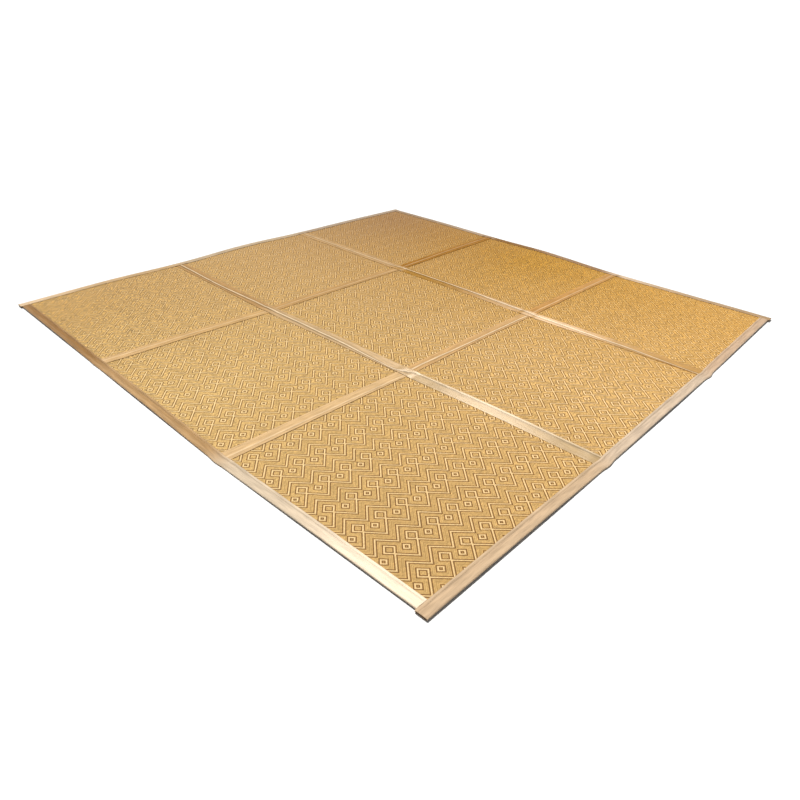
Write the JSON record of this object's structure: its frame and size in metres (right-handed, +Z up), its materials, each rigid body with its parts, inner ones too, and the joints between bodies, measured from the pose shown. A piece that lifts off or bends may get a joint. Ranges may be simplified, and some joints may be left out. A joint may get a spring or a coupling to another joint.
{
  "type": "folding rattan floor mat",
  "caption": "Square woven rattan floor mat of stitched panels with cloth hinge tapes and a cloth-bound rim, laid open on the floor.",
  "frame": {"origin": "on the floor, under the middle of the mat's bounding box", "axes": "+Z up from the floor; X and Y along the mat's sides, the long hinge tapes run along Y"},
  "size_m": [2.014, 2.026, 0.0122],
  "materials": {
    "woven_panel": "golden rattan strands in a figured weave, satin",
    "long_tape": "cream satin-weave tape",
    "short_tape": "tan plain-weave tape, nearly matt",
    "rim_binding": "cream to tan satin-weave tape folded over the rim"
  },
  "bodies": {
    "root": {"panel_1_1": "woven_panel", "panel_1_2": "woven_panel", "panel_1_3": "woven_panel", "panel_2_1": "woven_panel", "panel_2_2": "woven_panel", "panel_2_3": "woven_panel", "panel_3_1": "woven_panel", "panel_3_2": "woven_panel", "panel_3_3": "woven_panel", "long_tape_1": "long_tape", "long_tape_2": "long_tape", "short_tape_1_1": "short_tape", "short_tape_1_2": "short_tape", "short_tape_2_1": "short_tape", "short_tape_2_2": "short_tape", "short_tape_3_1": "short_tape", "short_tape_3_2": "short_tape", "binding_front": "rim_binding", "binding_right": "rim_binding", "binding_back": "rim_binding", "binding_left": "rim_binding"}
  },
  "joints": []
}
